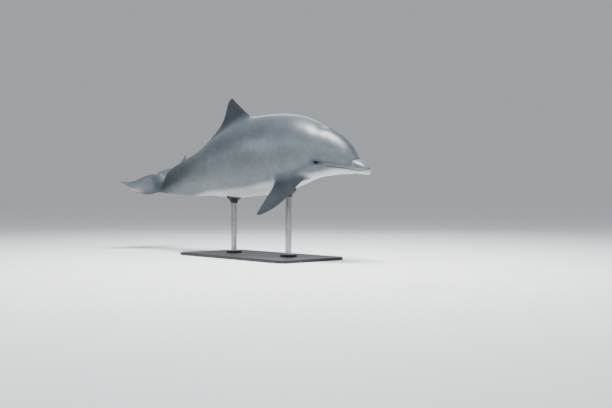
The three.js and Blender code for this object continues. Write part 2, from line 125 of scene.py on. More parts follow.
# The last share of the span is rounded off, toward a share of the chord and down to the least size.
FIN_TIP = {"share": 0.05, "rings": 8, "centre": 0.6, "least": 0.02}

DORSAL = {
    "heights": [(0, 60), (0.38, 262), (1, 486)],  # its foot is buried deeper than the solid's
    "front": [
        (60, 861), (170, 940), (262, 1006), (300, 1052), (400, 1166), (455, 1222), (486, 1246),
    ],
    "back": [
        (60, 1879), (170, 1690), (262, 1532), (300, 1458), (360, 1380), (420, 1336), (465, 1304),
        (486, 1274),
    ],
    "thick": [(60, 91), (170, 65), (300, 34), (486, 8)],
}
FLIPPER = {
    "root": (511, 140, -135), "root_bend": 36, "buried": 110, "length": 372, "chord": 186,
    "least_chord": 18, "thick": 27, "taper": 0.72, "front_slope": 0.08, "front_sweep": 0.61,
    "front_power": 2.6, "back_taper": 0.2, "back_bow": 0.06,
}
# How the flipper widens at its root: less than the solid's, as the skin is rounded there.
SHOULDER = {"start": -10, "fade": 30, "front": 2, "back": 4, "thick": 5}
SHOULDER_WAY = np.array([0.1, -0.85, 0.5])
FLIPPER_HELD = {-1: (28, 71), 1: (56, -2)}  # by side: swept back and drooped, in degrees
FLUKE = {
    "span": 320,
    "front": [(0, 2290), (0.12, 2301), (0.4, 2328), (0.6, 2366), (0.8, 2424), (1, 2534)],
    "back": [(0, 2490), (0.1, 2520), (0.3, 2526), (0.6, 2518), (0.85, 2532), (1, 2552)],
    "thick": [(0, 51), (0.15, 34), (0.5, 20), (1, 6)],
    "droop": 0.15,
    "middle": 25,
    "tip_lift": 58,
    "tip_power": 4.5,
    "left_lean": 55,
}


# ---- curves and the spine
def ease(t):
    x = np.clip(t, 0, 1)
    return x * x * (3 - 2 * x)


def bell(distance, width):
    return np.exp(-((distance / width) ** 2))


def ramp(value, start, end):
    """Runs smoothly from 0 at start to 1 at end, which may be the smaller of the two."""
    return ease((value - start) / (end - start))


def window(value, start, end, fade):
    """1 between start and end, and fading to 0 at both over some length inside them."""
    return ramp(value, start, start + fade) * ramp(value, end, end - fade)


def curve_through(pairs):
    """A smooth curve through (x, y) pairs that never overshoots them (Fritsch and Carlson)."""
    xs, ys = np.array(pairs, float).T
    steps = np.diff(xs)
    slopes = np.diff(ys) / steps
    product = slopes[:-1] * slopes[1:]
    total = np.where(product > 0, slopes[:-1] + slopes[1:], 1)
    inner = np.where(product > 0, 2 * product / total, 0)
    tangents = np.concatenate([slopes[:1], inner, slopes[-1:]])

    def curve(x):
        i = np.clip(np.searchsorted(xs, x) - 1, 0, len(steps) - 1)
        t = np.clip((x - xs[i]) / steps[i], 0, 1)
        rest = 1 - t
        ends = ys[i] * rest * rest * (1 + 2 * t) + ys[i + 1] * t * t * (3 - 2 * t)
        return ends + steps[i] * t * rest * (rest * tangents[i] - t * tangents[i + 1])

    return curve


def spine_knots():
    along = np.arange(SPINE_FROM, SPINE_TO + 1, SPINE_STEP, dtype=float)
    angles = np.tile(np.array(HEAD, float), (len(along), 1))
    for start, end, *gains in BENDS:
        angles += ease((along - start) / (end - start))[:, None] * np.array(gains)
    turn, rise, roll = np.radians(angles).T

    def turned(x, y, z):
        sine, cosine = np.sin(turn), np.cos(turn)
        return np.stack([x * cosine - y * sine, x * sine + y * cosine, z], axis=1)

    forward = turned(np.cos(rise), 0 * rise, np.sin(rise))
    left = turned(-np.sin(rise) * np.sin(roll), np.cos(roll), np.cos(rise) * np.sin(roll))
    up = turned(-np.sin(rise) * np.cos(roll), -np.sin(roll), np.cos(rise) * np.cos(roll))
    centre = np.zeros_like(forward)
    centre[1:] = -np.cumsum((forward[:-1] + forward[1:]) * SPINE_STEP / 2, axis=0)
    nose = int(round(-SPINE_FROM / SPINE_STEP))
    return centre - centre[nose] + np.array(NOSE), forward, left, up


SPINE = spine_knots()


def frame_at(along):
    """The spine's middle and its forward, left and up directions at each place along it."""
    place = (np.asarray(along, float) - SPINE_FROM) / SPINE_STEP
    i = np.clip(np.floor(place).astype(int), 0, len(SPINE[0]) - 2)
    t = (place - i)[..., None]
    return [rows[i] * (1 - t) + rows[i + 1] * t for rows in SPINE]


def placed(spots):
    """Turns rows of (along, out, up) into points of the part, in metres."""
    centre, _, left, up = frame_at(spots[:, 0])
    return (centre + left * spots[:, 1:2] + up * spots[:, 2:3]) * MM


def placed_from(root, spots):
    """The same, for a stiff piece that hangs on the spine at one place."""
    centre, forward, left, up = frame_at(root)
    back = root - spots[:, 0:1]
    return (centre + forward * back + left * spots[:, 1:2] + up * spots[:, 2:3]) * MM


SEARCH_BLOCKS = 20  # to save memory
SEARCH_ROUNDS = 8
SEARCH_STEP = 0.8  # of what is left, in a round


def spots_of(points):
    """The reverse of placed: rows of (along, out, up) for points of the part."""
    mm = points / MM
    nearest = np.concatenate([
        ((block[:, None] - SPINE[0]) ** 2).sum(axis=2).argmin(axis=1)
        for block in np.array_split(mm, SEARCH_BLOCKS)
    ])
    along = SPINE_FROM + SPINE_STEP * nearest.astype(float)
    for _ in range(SEARCH_ROUNDS):
        centre, forward, _, _ = frame_at(along)
        ahead = ((mm - centre) * forward).sum(axis=1)
        along = np.clip(along - ahead * SEARCH_STEP, SPINE_FROM, SPINE_TO)
    centre, _, left, up = frame_at(along)
    from_spine = mm - centre
    return np.stack([along, (from_spine * left).sum(axis=1), (from_spine * up).sum(axis=1)], axis=1)


# ---- the body's surface
back_at, belly_at, widest_at, half_width_at, power_at = [
    curve_through([(row[0], row[column]) for row in OUTLINE]) for column in range(1, 6)
]
mouth_at = curve_through(MOUTH)


def section_spots(along, angle):
    cosine, sine = np.cos(angle), np.sin(angle)
    power = 2 / power_at(along)
    level = widest_at(along)
    reach = np.where(sine > 0, back_at(along) - level, level - belly_at(along))
    out = half_width_at(along) * np.sign(cosine) * np.abs(cosine) ** power
    up = level + reach * np.sign(sine) * np.abs(sine) ** power
    return np.stack([along + 0 * angle, out, up], axis=-1)


def on_section(spots):
    """Moves spots out onto the body's surface, in their own section."""
    along, out, up = spots.T
    level = widest_at(along)
    reach = np.where(up > level, back_at(along) - level, level - belly_at(along))
    root = power_at(along) / 2
    sine = np.sign(up - level) * np.abs((up - level) / reach) ** root
    cosine = np.sign(out) * np.abs(out / half_width_at(along)) ** root
    return section_spots(along, np.arctan2(sine, cosine))


def skin_out(along, up):
    level = widest_at(along)
    reach = back_at(along) - level if up > level else level - belly_at(along)
    power = power_at(along)
    return half_width_at(along) * (1 - abs((up - level) / reach) ** power) ** (1 / power)


def distance_to_line(along, up, line):
    """How far spots lie from a broken line drawn on the side of the head, seen from the side."""
    nearest = np.full(np.shape(along), np.inf)
    for (x0, y0), (x1, y1) in zip(line, line[1:]):
        run = np.array([x1 - x0, y1 - y0], float)
        share = ((along - x0) * run[0] + (up - y0) * run[1]) / (run @ run)
        share = np.clip(share, 0, 1)
        gap = np.hypot(along - x0 - share * run[0], up - y0 - share * run[1])
        nearest = np.minimum(nearest, gap)
    return nearest


# ---- detail of the skin
# Ridges that follow a line, each (height, how far beside the line, width). Below 0 they are grooves.
MOUTH_RIDGES = [(-3.4, 0, 2.4), (1.3, 5.5, 4), (1.7, -6, 4.5)]  # the slit, the upper and lower lip
BEAK_RIDGES = [(-4.2, 0, 6.5)]
UPPER_LID_RIDGES = [(2.6, 1.6, 2.2), (-1.7, 7.5, 1.6), (-0.8, 13, 2)]  # the rim and two folds
LOWER_LID_RIDGES = [(1.9, 1.6, 2.2), (-1.2, 7.5, 1.6), (-0.8, 13, 2)]
BLOWHOLE_RIDGES = [(-7, 0, 2), (1, 6, 4), (0.8, -6, 5)]  # the slit, and the lips behind and before it
GENITAL_SLIT = [(-6.5, 0, 2.6)]
GENITAL_LIPS = [(2.5, 8, 6)]
STOCK_HOLLOW = [(-2.5, -20, 55)]

# Soft mounds, each (height, along, reach, up or out, reach). Below 0 they are pits.
CORNER_PIT = (-2.2, MOUTH_CORNER + 7, 4, -33, 11)
CHEEK = (2.5, MOUTH_CORNER + 24, 16, -34, 20)
MELON = (5, 168, 42, 52, 38)
EYE_MOUND = (3.4, EYE["along"], 33, EYE["up"], 21)
BROW = (2.4, EYE["along"] - 6, 34, EYE["up"] + 25, 12)
BLOWHOLE_MOUND = (2, BLOWHOLE["along"] + 8, 30, 0, 30)
EAR_HOLE = (-2.5, EAR[0], 2.2, EAR[1], 2.2)
THROAT_CREASES = [(-1.1, 352, 5, -112, 42), (-1.5, 404, 5, -128, 42), (-1.2, 446, 5, -142, 42)]
NAVEL_PIT = (-5, NAVEL, 11, 0, 7)
VENT = (-6, 1655, 8, 0, 3)
NAPE = (-6, 404, 30, 0, 90)

# Where they fade out: from 0 to 1 between these, or (from, to, length of the fade).
MOUTH_FADE = (MOUTH_CORNER + 8, MOUTH_CORNER - 14)
BLOWHOLE_FADE = (BLOWHOLE["half_width"] + 2, BLOWHOLE["half_width"] - 3)
GENITAL_SLIT_RUN = (1470, 1600, 22)
GENITAL_LIPS_RUN = (1460, 1612, 30)
STOCK_HOLLOW_START = (1350, 1700)
STOCK_HOLLOW_END = (2280, 2160)

EYE_POCKET = {"depth": 8, "edge": (0.4, -2.8)}  # sunk between the lids, to make room for the ball
EYE_REACH = 44  # how far along the lids' rims and folds are felt
CREASE_LEVEL = -120  # the throat's creases lean about this height
CREASE_LEAN = 0.12


def ridges(distance, rows):
    return sum(height * bell(distance - beside, width) for height, beside, width in rows)


def mound(along, across, row):
    height, at, reach, level, across_reach = row
    return height * bell(along - at, reach) * bell(across - level, across_reach)


def eye_edge(along, up):
    """Signed distance from the edge of the almond between the eyelids: below 0 is inside."""
    x = along - EYE["along"]
    half_length, half_height = EYE_OPENING["half_length"], EYE_OPENING["half_height"]
    slope = 2 * half_height * x / half_length**2
    above = np.abs(up - EYE["up"]) - half_height * (1 - (x / half_length) ** 2)
    return above / np.hypot(1, slope)


def blowhole_gap(along, out):
    """How far behind the blowhole's crescent a spot on the crown lies. Its horns point forward."""
    bend = 1 - (out / BLOWHOLE["half_width"]) ** 2
    return along - BLOWHOLE["along"] - BLOWHOLE["bow"] * bend


def mouth_detail(along, out, up):
    lips = ridges(up - mouth_at(along), MOUTH_RIDGES) * ramp(along, *MOUTH_FADE)
    return lips + mound(along, up, CORNER_PIT) + mound(along, up, CHEEK)


def beak_detail(along, out, up):
    crease = ridges(distance_to_line(along, up, BEAK_CREASE), BEAK_RIDGES)
    return crease + mound(along, up, MELON)


def eye_detail(along, out, up):
    edge = eye_edge(along, up)
    pocket = -EYE_POCKET["depth"] * ramp(edge, *EYE_POCKET["edge"])
    is_upper = up > EYE["up"]
    lids = np.where(is_upper, ridges(edge, UPPER_LID_RIDGES), ridges(edge, LOWER_LID_RIDGES))
    near = bell(along - EYE["along"], EYE_REACH)
    return (pocket + lids) * near + mound(along, up, EYE_MOUND) + mound(along, up, BROW)


def blowhole_detail(along, out, up):
    slit = ridges(blowhole_gap(along, out), BLOWHOLE_RIDGES) * ramp(np.abs(out), *BLOWHOLE_FADE)
    return np.where(up > CROWN, slit + mound(along, out, BLOWHOLE_MOUND), 0)


def ear_and_throat_detail(along, out, up):
    leaning = along - CREASE_LEAN * (up - CREASE_LEVEL)
    creases = sum(mound(leaning, up, row) for row in THROAT_CREASES)
    return np.where(np.abs(out) > MIDLINE, mound(along, up, EAR_HOLE) + creases, 0)


def belly_detail(along, out, up):
    slit = ridges(out, GENITAL_SLIT) * window(along, *GENITAL_SLIT_RUN)
    lips = ridges(np.abs(out), GENITAL_LIPS) * window(along, *GENITAL_LIPS_RUN)
    pits = mound(along, out, NAVEL_PIT) + mound(along, out, VENT)
    return np.where(up < widest_at(along), pits + slit + lips, 0)


def muscle_detail(along, out, up):
    """The shallow hollow along the side of the tail stock, and the dip behind the head."""
    above = up - widest_at(along)
    kept = ramp(along, *STOCK_HOLLOW_START) * ramp(along, *STOCK_HOLLOW_END)
    return ridges(above, STOCK_HOLLOW) * kept + mound(along, out, NAPE) * (above > 0)


DETAILS = [
    mouth_detail, beak_detail, eye_detail, blowhole_detail, ear_and_throat_detail, belly_detail,
    muscle_detail,
]

# Faces within these are made finer: ovals (along, up or out, half length, half height) round the eye,
# blowhole, ear and navel, and bands beside lines. A later round reaches only a share as far.
FINE_EYE = (EYE["along"], EYE["up"], 62, 42)
FINE_CROWN = (BLOWHOLE_MOUND[1], 0, 50, 50)
FINE_EAR = (*EAR, 16, 16)
FINE_NAVEL = (NAVEL, 0, 36, 36)
FINE_MOUTH = 20
FINE_CREASE = 18
FINE_SLIT = {"from": 1440, "to": 1680, "width": 24}
ROUND_SHARES = [1, 0.55, 0.33]


def from_oval(along, across, oval):
    """How far spots lie from the middle of an oval, in half sizes of it."""
    at, level, half_length, half_height = oval
    return np.hypot((along - at) / half_length, (across - level) / half_height)


def wants_more_faces(spots, turn):
    """Which faces are made finer in this round: those near the small features."""
    along, out, up = spots.T
    share = ROUND_SHARES[turn]
    wanted = from_oval(along, up, FINE_EYE) < share
    wanted |= (from_oval(along, out, FINE_CROWN) < share) & (up > CROWN)
    at_slit = (up < 0) & (along > FINE_SLIT["from"]) & (along < FINE_SLIT["to"])
    wanted |= (np.abs(out) < FINE_SLIT["width"] * share) & at_slit
    if turn < 2:
        at_lips = np.abs(up - mouth_at(along)) < FINE_MOUTH * share
        wanted |= at_lips & (along < MOUTH_CORNER + FINE_MOUTH)
        wanted |= from_oval(along, up, FINE_EAR) < share
        wanted |= (from_oval(along, out, FINE_NAVEL) < share) & (up < 0)
    if turn < 1:
        wanted |= distance_to_line(along, up, BEAK_CREASE) < FINE_CREASE
    return wanted


# ---- meshes
def fan_ends(last, around):
    """Faces from the middle of each end ring, which is a point after all the rings' points."""
    middles = last + around
    turn = [(k, (k + 1) % around) for k in range(around)]
    return [[b, a, middles] for a, b in turn] + [[last + a, last + b, middles + 1] for a, b in turn]


def strip_ends(last, around):
    """Faces across each end ring of a blade, from one side to the other."""
    faces = []
    for start in (0, last):
        for k in range(around // 2):
            corners = [start + corner % around for corner in (k, k + 1, -k - 1, -k)]
            faces.append(list(dict.fromkeys(corners)))
    return faces


def mesh_over_rings(rings, is_blade=False):
    """A closed mesh over rings of points. A blade's end rings are flat, and closed by strips."""
    count, around = rings.shape[:2]
    points = rings.reshape(-1, 3)
    if not is_blade:
        points = np.concatenate([points, [rings[0].mean(axis=0), rings[-1].mean(axis=0)]])
    k = np.arange(around)
    after = (k + 1) % around
    starts = np.arange(count - 1)[:, None] * around
    next_starts = starts + around
    quads = np.stack([starts + k, starts + after, next_starts + after, next_starts + k], axis=-1)
    faces = quads.reshape(-1, 4).tolist()
    last = (count - 1) * around
    faces += strip_ends(last, around) if is_blade else fan_ends(last, around)
    mesh = bpy.data.meshes.new("rings")
    mesh.from_pydata(points.tolist(), [], faces)
    mesh.update()
    return mesh


def points_of(mesh):
    points = np.empty(len(mesh.vertices) * 3)
    mesh.vertices.foreach_get("co", points)
    return points.reshape(-1, 3)


def set_points(mesh, points):
    mesh.vertices.foreach_set("co", np.ascontiguousarray(points, dtype=np.float32).ravel())
    mesh.update()


def write_numbers(mesh, name, values):
    layer = mesh.attributes.new(name, "FLOAT", "POINT")
    layer.data.foreach_set("value", values.astype(np.float32))


def normals_of(mesh):
    normals = np.empty(len(mesh.vertices) * 3, np.float32)
    mesh.vertex_normals.foreach_get("vector", normals)
    return normals.reshape(-1, 3).astype(float)


def faced_out(mesh):
    worker = bmesh.new()
    worker.from_mesh(mesh)
    bmesh.ops.recalc_face_normals(worker, faces=worker.faces)
    if worker.calc_volume(signed=True) < 0:
        bmesh.ops.reverse_faces(worker, faces=worker.faces)
    worker.to_mesh(mesh)
    worker.free()
    return mesh


def add_object(name, mesh):
    piece = bpy.data.objects.new(name, mesh)
    bpy.context.scene.collection.objects.link(piece)
    return piece


def body_mesh():
    stations = [RING_STEPS[0][0]]
    for start, end, steps in RING_STEPS:
        stations += [start + (end - start) * i / steps for i in range(1, steps + 1)]
    angle = 2 * math.pi * (np.arange(RING_POINTS) + 0.5) / RING_POINTS
    rings = section_spots(np.array(stations, float)[:, None], angle[None, :])
    mesh = mesh_over_rings(rings)

    worker = bmesh.new()
    worker.from_mesh(mesh)
    for turn in range(len(ROUND_SHARES)):
        middles = np.array([face.calc_center_median() for face in worker.faces])
        wanted = wants_more_faces(middles, turn)
        chosen_faces = [face for face, chosen in zip(worker.faces, wanted) if chosen]
        edges = {edge for face in chosen_faces for edge in face.edges}
        bmesh.ops.subdivide_edges(worker, edges=list(edges), cuts=1, use_grid_fill=True)
    worker.to_mesh(mesh)
    worker.free()

    spots = points_of(mesh)
    inside = (spots[:, 0] > stations[0]) & (spots[:, 0] < stations[-1])
    spots[inside] = on_section(spots[inside])
    set_points(mesh, spots)
    faced_out(mesh)
    along, out, up = spots.T
    height = sum(detail(along, out, up) for detail in DETAILS)
    spots += normals_of(mesh) * (height * inside)[:, None]
    set_points(mesh, placed(spots))
    return faced_out(mesh)


def fin_mesh(plan, place, both_sides=False):
    """plan(t) gives a fin's edges, span and thickness from root to tip; place puts it on the animal."""
    turn = math.pi * np.arange(2 * FIN_SIDE_POINTS) / FIN_SIDE_POINTS
    chord = (1 - np.cos(turn)) / 2
    bulge = np.sign(np.sin(turn)) * np.sqrt(chord) * (1 - chord) ** FIN_BACK_POWER * FIN_FULLNESS
    bulge[[0, FIN_SIDE_POINTS]] = 0
    tip = FIN_TIP["share"]
    tip_turns = np.linspace(0, math.pi / 2, FIN_TIP["rings"] + 1)[1:]
    shares = [*np.linspace(0, 1 - tip, FIN_RINGS), *(1 - tip * (1 - np.sin(tip_turns)))]
    if both_sides:
        shares = [-t for t in reversed(shares)] + shares[1:]
    rings = []
    for t in shares:
        lead, trail, span, thick = plan(t)
        into_tip = min(1, max(0, (abs(t) - 1 + tip) / tip))
        size = max(FIN_TIP["least"], math.sqrt(1 - into_tip**2))
        middle = lead + (trail - lead) * FIN_TIP["centre"]
        back = middle + (lead + (trail - lead) * chord - middle) * size
        rings.append(place(np.stack([back, span + 0 * back, bulge * thick * size], axis=1)))
    return faced_out(mesh_over_rings(np.array(rings), is_blade=True))


def dorsal_mesh():
    parts = ("heights", "front", "back", "thick")
    heights, front, back, thick = [curve_through(DORSAL[part]) for part in parts]

    def plan(t):
        span = heights(t)
        return front(span), back(span), span, thick(span)

    return fin_mesh(plan, lambda rows: placed(rows[:, [0, 2, 1]]))


def flipper_plan(t):
    length, buried, chord = FLIPPER["length"], FLIPPER["buried"], FLIPPER["chord"]
    span = -buried + (length + buried) * t
    share = max(0, span / length)
    widening = math.exp(-max(0, span - SHOULDER["start"]) / SHOULDER["fade"])
    run_back = FLIPPER["front_slope"] * share + FLIPPER["front_sweep"] * share ** FLIPPER["front_power"]
    run_forward = FLIPPER["back_taper"] * share**2 + FLIPPER["back_bow"] * math.sin(math.pi * share)
    lead = chord * (run_back - 0.5) - SHOULDER["front"] * widening
    trail = chord * (0.5 - run_forward) + SHOULDER["back"] * widening
    thick = FLIPPER["thick"] * (1 - FLIPPER["taper"] * share) + SHOULDER["thick"] * widening
    return lead, max(trail, lead + FLIPPER["least_chord"]), span, thick


def flipper_mesh(side):
    sweep, droop = np.radians(FLIPPER_HELD[side])
    level = math.cos(sweep)
    span_way = np.array([math.sin(sweep), level * math.cos(droop), -level * math.sin(droop)])
    chord_way = np.array([1, 0, 0]) - span_way * span_way[0]
    chord_way /= np.linalg.norm(chord_way)
    normal_way = np.cross(span_way, chord_way)
    root = np.array(FLIPPER["root"], float)

    def place(rows):
        back, span, normal = rows[:, 0:1], rows[:, 1:2], rows[:, 2:3]
        turning = np.hypot(span, FLIPPER["root_bend"])
        spots = root + span_way * (turning + span) / 2 + SHOULDER_WAY * (turning - span) / 2
        spots = spots + chord_way * back + normal_way * normal
        return placed_from(root[0], spots * np.array([1, side, 1]))

    return fin_mesh(flipper_plan, place)


def flukes_mesh():
    front, back, thick = [curve_through(FLUKE[key]) for key in ("front", "back", "thick")]
    whole, middle = FLUKE["span"], FLUKE["middle"]

    def plan(t):
        share = abs(t)
        return front(share), back(share), whole * t, thick(share)

    def place(rows):
        along, out, normal = rows.T
        share = np.abs(out / whole)
        droop = FLUKE["droop"] * (np.hypot(out, middle) - middle)
        lift = FLUKE["tip_lift"] * share ** FLUKE["tip_power"] - droop
        lean = np.where(out > 0, FLUKE["left_lean"] * share**2, 0)
        return placed(np.stack([along + lean, out, lift + normal], axis=1))

    return fin_mesh(plan, place, both_sides=True)


# ---- one skin from body and fins
SOLVER = "MANIFOLD"
SQUARE_ON = 0.999  # the cosine above which a spot is taken to lie within a face, not on its edge

# How the junctions of the fins are rounded. Lengths are in metres.
BLEND_RADII = {"dorsal": 0.07, "flipper_right": 0.075, "flipper_left": 0.075, "flukes": 0.06}
BLEND = {
    "reach": 0.17,  # from a flipper's root, past which the rounding fades out
    "fade": 0.09,
    "least": 0.2,  # points with less than this share of the radius stay where they are
    "turns": 12,
    "smoothing": 0.5,  # how far a turn moves a point to the middle of its neighbours
    "steps": 2,  # onto the smooth union, in a turn
    "least_way": 0.3,  # of the mean of both surfaces' directions, which nearly cancel in places
}
TOUCHING = 5e-4  # metres; a point nearer than this takes the direction of the face it lies on


def joined(meshes, how="UNION"):
    """The union of closed meshes, or what the later ones leave of the first."""
    base = add_object("joining", meshes[0])
    others = [add_object("joined", mesh) for mesh in meshes[1:]]
    for other in others:
        cut = base.modifiers.new("cut", "BOOLEAN")
        cut.operation = how
        cut.solver = SOLVER
        cut.object = other
    graph = bpy.context.evaluated_depsgraph_get()
    result = bpy.data.meshes.new_from_object(base.evaluated_get(graph))
    for piece in [base, *others]:
        bpy.data.objects.remove(piece)
    return result


class Surface:
    """A closed mesh that tells how far it is from a point."""

    def __init__(self, mesh):
        points = points_of(mesh)
        self.corners = [tuple(face.vertices) for face in mesh.polygons]
        self.tree = BVHTree.FromPolygons(points.tolist(), self.corners)
        self.points = [Vector(point) for point in points]
        self.normals = [Vector(normal) for normal in normals_of(mesh)]

    def gap(self, point):
        return self.tree.find_nearest(Vector(point))[3]

    def is_within(self, point, reach):
        return self.tree.find_nearest(Vector(point), reach)[0] is not None

    def side_of(self, away, spot, normal, face):
        """1 outside and -1 inside. Beside an edge, the nearest corner's normal settles it."""
        facing = away.dot(normal)
        if abs(facing) < SQUARE_ON * away.length:
            corner = min(self.corners[face], key=lambda k: (self.points[k] - spot).length_squared)
            facing = away.dot(self.normals[corner])
        return 1 if facing >= 0 else -1

    def signed_distances(self, points):
        """Distance from the mesh, below 0 inside it, and the direction in which it grows."""
        distances = np.empty(len(points))
        ways = np.empty((len(points), 3))
        for i, point in enumerate(points):
            here = Vector(point)
            spot, normal, face, gap = self.tree.find_nearest(here)
            away = here - spot
            side = self.side_of(away, spot, normal, face)
            distances[i] = side * gap
            ways[i] = away * (side / gap) if gap > TOUCHING else normal
        return distances, ways


def neighbour_mean(points, edges):
    total = np.zeros((len(points), 3))
    ties = np.zeros(len(points))
    for a, b in ((0, 1), (1, 0)):
        np.add.at(total, edges[:, a], points[edges[:, b]])
        np.add.at(ties, edges[:, a], 1)
    return total / np.maximum(ties, 1)[:, None]


def blend_fin(mesh, body, fin, radius, root=None):
    """Rounds the corner between the body and a fin: the skin is moved onto the smooth union of both.

    A root keeps the rounding near it, so that a fin held close to the flank stays free of it.
    """
    points = points_of(mesh)
    radii = np.full(len(points), radius)
    if root is not None:
        past = np.linalg.norm(points - root, axis=1) - BLEND["reach"]
        radii *= 1 - ease(past / BLEND["fade"])
    edges = np.empty(len(mesh.edges) * 2, np.int64)
    mesh.edges.foreach_get("vertices", edges)
    edges = edges.reshape(-1, 2)
    zone = [
        i
        for i in np.flatnonzero(radii > BLEND["least"] * radius)
        if fin.is_within(points[i], radii[i]) and body.is_within(points[i], radii[i])
    ]
    radii = radii[zone]
    for turn in range(BLEND["turns"]):
        if turn:
            mean = neighbour_mean(points, edges)
            points[zone] += BLEND["smoothing"] * (mean[zone] - points[zone])
        for _ in range(BLEND["steps"]):
            to_body, body_way = body.signed_distances(points[zone])
            to_fin, fin_way = fin.signed_distances(points[zone])
            share = np.clip(0.5 + 0.5 * (to_fin - to_body) / radii, 0, 1)
            merged = to_fin * (1 - share) + to_body * share - radii * share * (1 - share)
            way = fin_way * (1 - share)[:, None] + body_way * share[:, None]
            way /= np.maximum(np.linalg.norm(way, axis=1), BLEND["least_way"])[:, None]
            points[zone] -= way * merged[:, None]
    set_points(mesh, points)


def skin_mesh():
    """The one skin, and the surface of each fin, from which the fins' markings are measured."""
    body = body_mesh()
    fins = {
        "dorsal": dorsal_mesh(),
        "flipper_right": flipper_mesh(-1),
        "flipper_left": flipper_mesh(1),
        "flukes": flukes_mesh(),
    }
    along, out, up = FLIPPER["root"]
    right_root, left_root = placed(np.array([[along, -out, up], [along, out, up]], float))
    roots = {"flipper_right": right_root, "flipper_left": left_root}
    surfaces = {name: Surface(mesh) for name, mesh in fins.items()}
    body_surface = Surface(body)
    skin = joined([body, *fins.values()])
    for name, surface in surfaces.items():
        blend_fin(skin, body_surface, surface, BLEND_RADII[name], roots.get(name))
    return faced_out(skin), surfaces


# ---- markings, as numbers on the skin
# Where the pale belly and the dark cape end: (along, up).
PALE_TOP = curve_through([
    (-13, 2), (18, -3), (107, -15), (200, -34), (265, -58), (313, -80), (432, -124), (600, -158),
    (800, -184), (1050, -200), (1300, -192), (1500, -170), (1700, -158), (1850, -152), (2000, -160),
])
CAPE_EDGE = curve_through([
    (0, 40), (100, 62), (200, 96), (335, 120), (500, 112), (760, 128), (1000, 96), (1300, 92),
    (1600, 74), (1900, 20), (2200, -30), (2450, -60),
])
PALE_FADE = 46
CAPE_FADE = 120

# Tones run from 0, pale, to 1, dark. These are the flank's, and what belly and cape change.
FLANK_TONE = 0.58
PALE_TONE = -0.52
CAPE_TONE = 0.26
FIN_TONES = {"dorsal": 0.9, "flipper_right": 0.86, "flipper_left": 0.86, "flukes": 0.84}
FIN_TONE_REACH = 46

# The dark patch round the eye, as wide as a share of its oval, and stripes, each (tone, width, line):
# lines on the side of the head go by (along, up), and the one on the crown by (along, out).
EYE_PATCH = {"tone": 0.3, "width": 0.9, "oval": (EYE["along"] - 2, EYE["up"] - 1, 36, 19)}
EYE_STRIPES = [
    (0.16, 17, [(345, -28), (420, -74), (492, -118)]),
    (0.13, 11, [(316, -14), (235, -2), (165, 4), (130, 18)]),
]
BRIDLE = (0.1, 7, [(112, 14), (170, 12), (250, 15), (330, 16)])
BRIDLE_HEIGHT = 20  # above the widest line, where the bridle may start

# A paler blaze that rises from the shoulder into the cape.
BLAZE = {"tone": -0.07, "along": 760, "up": 60, "slope": 0.28, "width": 42}
BLAZE_START = (560, 760)
BLAZE_END = (1180, 940)

# Painted shade in the slits and the eye's pocket: how wide it is, and where it fades out.
LIPS_SHADE = {"width": 2.6, "fade": (MOUTH_CORNER + 10, MOUTH_CORNER - 10)}
LIDS_SHADE = {"edge": (1.9, -0.5), "reach": 30}
BLOWHOLE_SHADE = {"width": 3, "fade": (23, 18)}
SLIT_SHADE = {"width": 3, "run": (1468, 1602, 20)}


def tones(along, out, up, points, fins):
    """How dark each spot is."""
    aside = np.abs(out)
    pale = 1 - ease((up - PALE_TOP(along)) / PALE_FADE + 0.5)
    cape = ease((up - CAPE_EDGE(along)) / CAPE_FADE + 0.5)
    tone = FLANK_TONE + PALE_TONE * pale + CAPE_TONE * cape

    on_side = aside > MIDLINE
    patch = bell(from_oval(along, up, EYE_PATCH["oval"]), EYE_PATCH["width"])
    tone += EYE_PATCH["tone"] * patch * on_side
    for dark, width, line in EYE_STRIPES:
        tone += dark * bell(distance_to_line(along, up, line), width) * on_side
    dark, width, line = BRIDLE
    on_crown = up > widest_at(along) + BRIDLE_HEIGHT
    tone += dark * bell(distance_to_line(along, aside, line), width) * on_crown
    from_blaze = up - BLAZE["up"] - BLAZE["slope"] * (along - BLAZE["along"])
    kept = ramp(along, *BLAZE_START) * ramp(along, *BLAZE_END)
    tone += BLAZE["tone"] * bell(from_blaze, BLAZE["width"]) * kept

    for name, dark in FIN_TONES.items():
        gaps = np.array([fins[name].gap(point) for point in points]) / MM
        tone += (dark - tone) * (1 - ease(gaps / FIN_TONE_REACH))
    return np.clip(tone, 0, 1)


def painted_slit_shade(along, out, up):
    """How much painted shade each spot gets: 1 in the slits of mouth, lids, blowhole and belly, 0
    outside them.
    """
    aside = np.abs(out)
    lips = bell(up - mouth_at(along), LIPS_SHADE["width"]) * ramp(along, *LIPS_SHADE["fade"])
    lids = ramp(eye_edge(along, up), *LIDS_SHADE["edge"]) * (aside > MIDLINE)
    lids *= bell(along - EYE["along"], LIDS_SHADE["reach"])
    blowhole = bell(blowhole_gap(along, out), BLOWHOLE_SHADE["width"]) * (up > CROWN)
    blowhole *= ramp(aside, *BLOWHOLE_SHADE["fade"])
    slit = bell(out, SLIT_SHADE["width"]) * window(along, *SLIT_SHADE["run"]) * (up < 0)
    return np.clip(lips + lids + blowhole + slit, 0, 1)


def markings(skin, fins):
    """Writes tone, the painted shade in the slits, and lie, which is how far along and round the body a
    spot lies, in metres.
    """
    points = points_of(skin)
    along, out, up = spots_of(points).T
    write_numbers(skin, "tone", tones(along, out, up, points, fins))
    # painted shade: the slits of mouth, blowhole and belly and the eye's pocket, darkened
    write_numbers(skin, "slit_shade", painted_slit_shade(along, out, up))
    girth = np.arctan2(up, out) * half_width_at(along)
    layer = skin.attributes.new("lie", "FLOAT_VECTOR", "POINT")
    lie = np.stack([along * MM, girth * MM, 0 * along], axis=1)
    layer.data.foreach_set("vector", lie.astype(np.float32).ravel())


# ---- materials
def new_material(name):
    material = bpy.data.materials.new(name)
    material.use_nodes = True
    return material, material.node_tree


